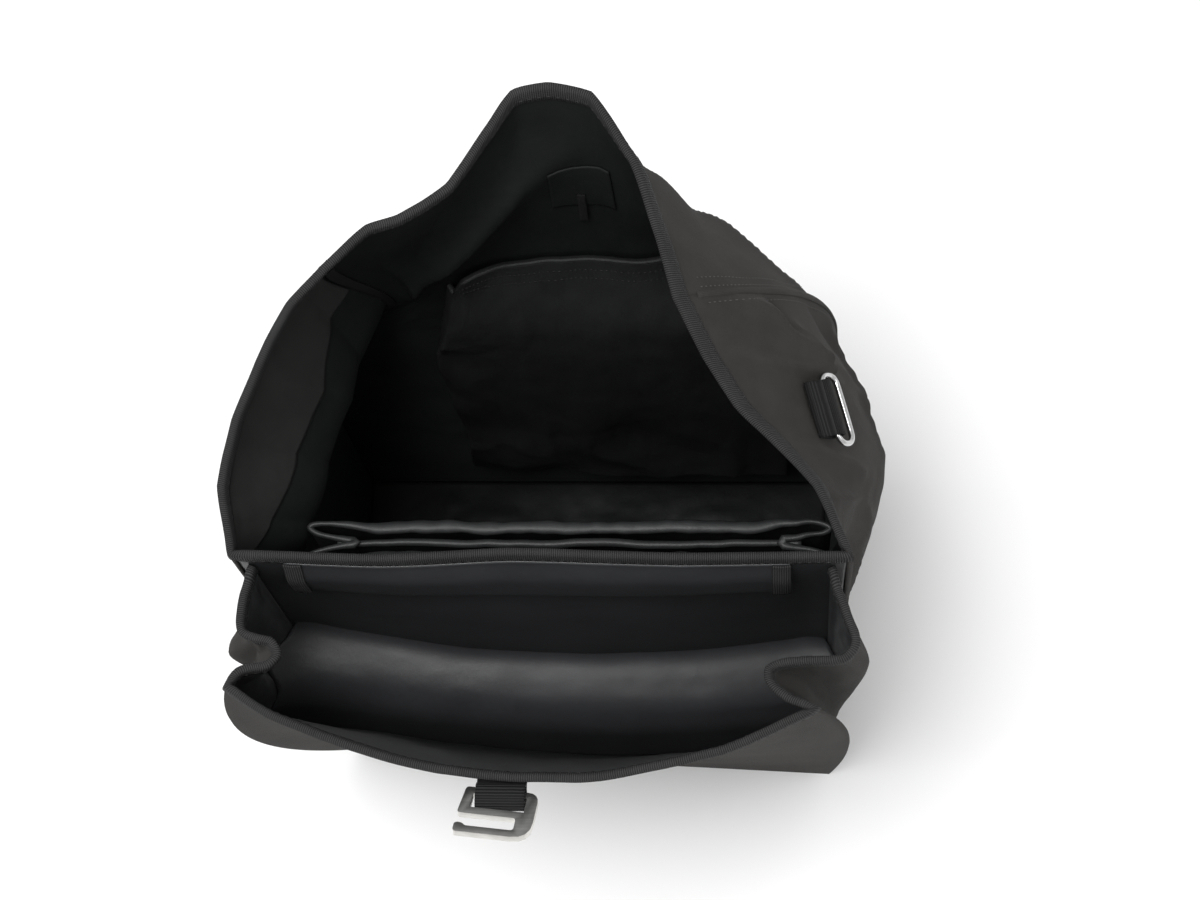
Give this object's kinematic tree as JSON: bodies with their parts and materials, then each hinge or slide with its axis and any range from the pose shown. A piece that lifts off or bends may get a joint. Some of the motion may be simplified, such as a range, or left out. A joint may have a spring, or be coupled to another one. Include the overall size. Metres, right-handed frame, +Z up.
{
  "type": "bicycle pannier bag",
  "caption": "Open-topped cloth bicycle pannier bag with bound rims, inner sleeves, a gusseted front pocket, an alloy hook on a webbing loop, a side ring and a rack rail.",
  "frame": {"origin": "middle of the base panel's underside", "axes": "+Z up to the mouth, -Y to the front pocket, +Y to the rack rail, +X to the side with the ring"},
  "size_m": [0.3614, 0.341, 0.5669],
  "materials": {
    "cloth": "matte woven nylon",
    "lining": "coated nylon with a soft sheen",
    "binding": "ribbed tape",
    "webbing": "ribbed webbing",
    "alloy": "satin",
    "wire": "polished wire",
    "rail": "matte"
  },
  "bodies": {
    "bag": {"left_panel": "cloth", "back_panel": "cloth", "right_panel": "cloth", "front_panel": "cloth", "base_panel": "cloth", "main_binding": "binding", "pocket_gusset_left": "cloth", "pocket_front": "cloth", "pocket_gusset_right": "cloth", "pocket_base": "cloth", "pocket_binding": "binding", "rim_tunnel": "cloth", "tunnel_tape_left": "binding", "tunnel_tape_right": "binding", "front_sleeve": "lining", "back_sleeve": "lining", "inner_patch": "lining", "seam_tape_left": "binding", "hook_strap": "webbing", "side_tab": "webbing", "rack_rail": "rail"},
    "hook": {"g_hook": "alloy"},
    "ring": {"side_ring": "wire"}
  },
  "joints": [
    {"name": "hook_swing", "type": "hinge", "parent": "bag", "child": "hook", "pos_m": [-0.01744, -0.20261, 0.40639], "axis": [0.9925, -0.1076, 0.0572], "range_deg": [-60, 115]},
    {"name": "ring_swing", "type": "hinge", "parent": "bag", "child": "ring", "pos_m": [0.14778, -0.00127, 0.41379], "axis": [0.2713, -0.9565, -0.1071], "range_deg": [0, 130]}
  ]
}
